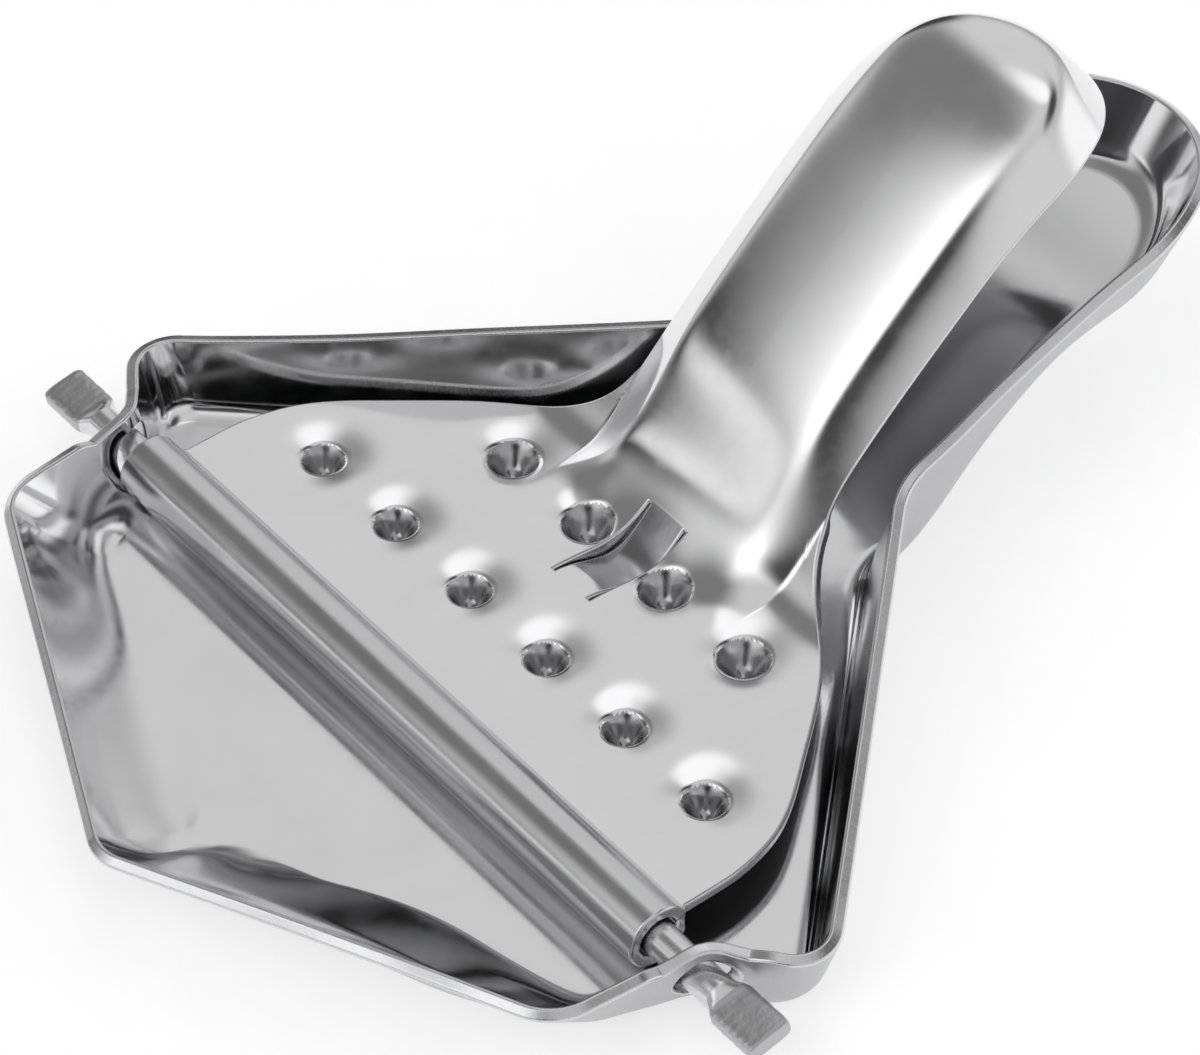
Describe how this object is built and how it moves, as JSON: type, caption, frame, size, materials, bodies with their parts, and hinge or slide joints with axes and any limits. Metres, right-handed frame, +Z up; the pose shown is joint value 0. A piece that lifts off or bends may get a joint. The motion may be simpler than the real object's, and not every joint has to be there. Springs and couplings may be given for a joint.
{
  "type": "citrus wedge press",
  "caption": "Small pressed-steel press: pointed open tray with trough handle, hinged toothed plate with domed handle, loose round pin.",
  "frame": {"origin": "on the flat underside of the tray floor, on the centre plane, straight below the hinge axis", "axes": "+X along the hinge pin, +Y from the hinge towards the handles, +Z up"},
  "size_m": [0.067, 0.0807, 0.0275],
  "materials": {
    "tray_steel": "mirror polished stainless sheet",
    "plate_steel": "mirror polished stainless sheet, barrel lightly brushed",
    "pin_steel": "dull drawn steel rod with staked ends"
  },
  "bodies": {
    "tray": {"tray": "tray_steel"},
    "press_plate": {"press_plate": "plate_steel"},
    "hinge_pin": {"hinge_pin": "pin_steel"}
  },
  "joints": [
    {"name": "plate_hinge", "type": "hinge", "parent": "tray", "child": "press_plate", "pos_m": [0, 0, 0.00315], "axis": [1, 0, 0], "range_deg": [0, 140]},
    {"name": "pin_spin", "type": "hinge", "parent": "tray", "child": "hinge_pin", "pos_m": [0, 0, 0.00315], "axis": [1, 0, 0], "continuous": true}
  ]
}
